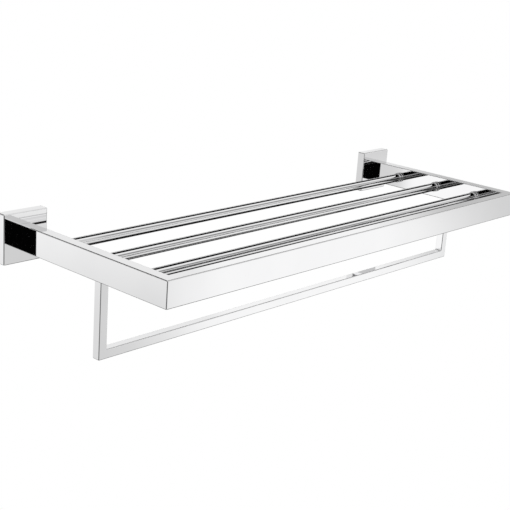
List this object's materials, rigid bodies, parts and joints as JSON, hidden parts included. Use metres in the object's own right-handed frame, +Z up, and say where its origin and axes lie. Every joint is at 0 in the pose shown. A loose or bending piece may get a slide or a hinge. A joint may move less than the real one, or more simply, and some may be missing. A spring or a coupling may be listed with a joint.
{
  "type": "towel rack",
  "caption": "Wall-mounted chrome towel rack: flat rectangular shelf frame on square wall plates, round shelf bars between its arms and a square-section towel bar hung below.",
  "frame": {"origin": "centre of the rectangle of wall screw holes, on the wall plane, midway between the two wall plates", "axes": "+X to the right along the wall, +Y into the wall (the shelf projects towards -Y), +Z up"},
  "size_m": [0.6, 0.215, 0.113],
  "materials": {
    "chrome_frame": "mirror-polished chrome plate on brass tube",
    "chrome_plates": "mirror-polished chrome plate",
    "chrome_bars": "mirror-polished chrome plate on round tube",
    "chrome_collars": "turned and chrome plated",
    "chrome_towel_bar": "mirror-polished chrome plate on square bar",
    "zinc_steel": "bright zinc plate over punched steel",
    "dark_steel": "oiled steel fasteners",
    "brass_inserts": "plain machined brass"
  },
  "bodies": {
    "root": {"left_wall_plate": "chrome_plates", "right_wall_plate": "chrome_plates", "left_wall_bracket": "zinc_steel", "right_wall_bracket": "zinc_steel", "grub_screws": "dark_steel", "left_arm": "chrome_frame", "right_arm": "chrome_frame", "front_rail": "chrome_frame", "left_arm_insert": "brass_inserts", "right_arm_insert": "brass_inserts", "arm_bolts": "dark_steel", "arm_washers": "zinc_steel", "left_corner_key": "brass_inserts", "right_corner_key": "brass_inserts", "shelf_bar_rear": "chrome_bars", "shelf_bar_middle": "chrome_bars", "shelf_bar_front": "chrome_bars", "left_bar_collars": "chrome_collars", "right_bar_collars": "chrome_collars", "left_bar_spigots": "brass_inserts", "right_bar_spigots": "brass_inserts", "left_towel_leg": "chrome_towel_bar", "right_towel_leg": "chrome_towel_bar", "towel_rail": "chrome_towel_bar", "towel_mitre_dowels": "dark_steel", "leg_studs": "dark_steel", "leg_nuts": "zinc_steel", "leg_washers": "zinc_steel"}
  },
  "joints": []
}
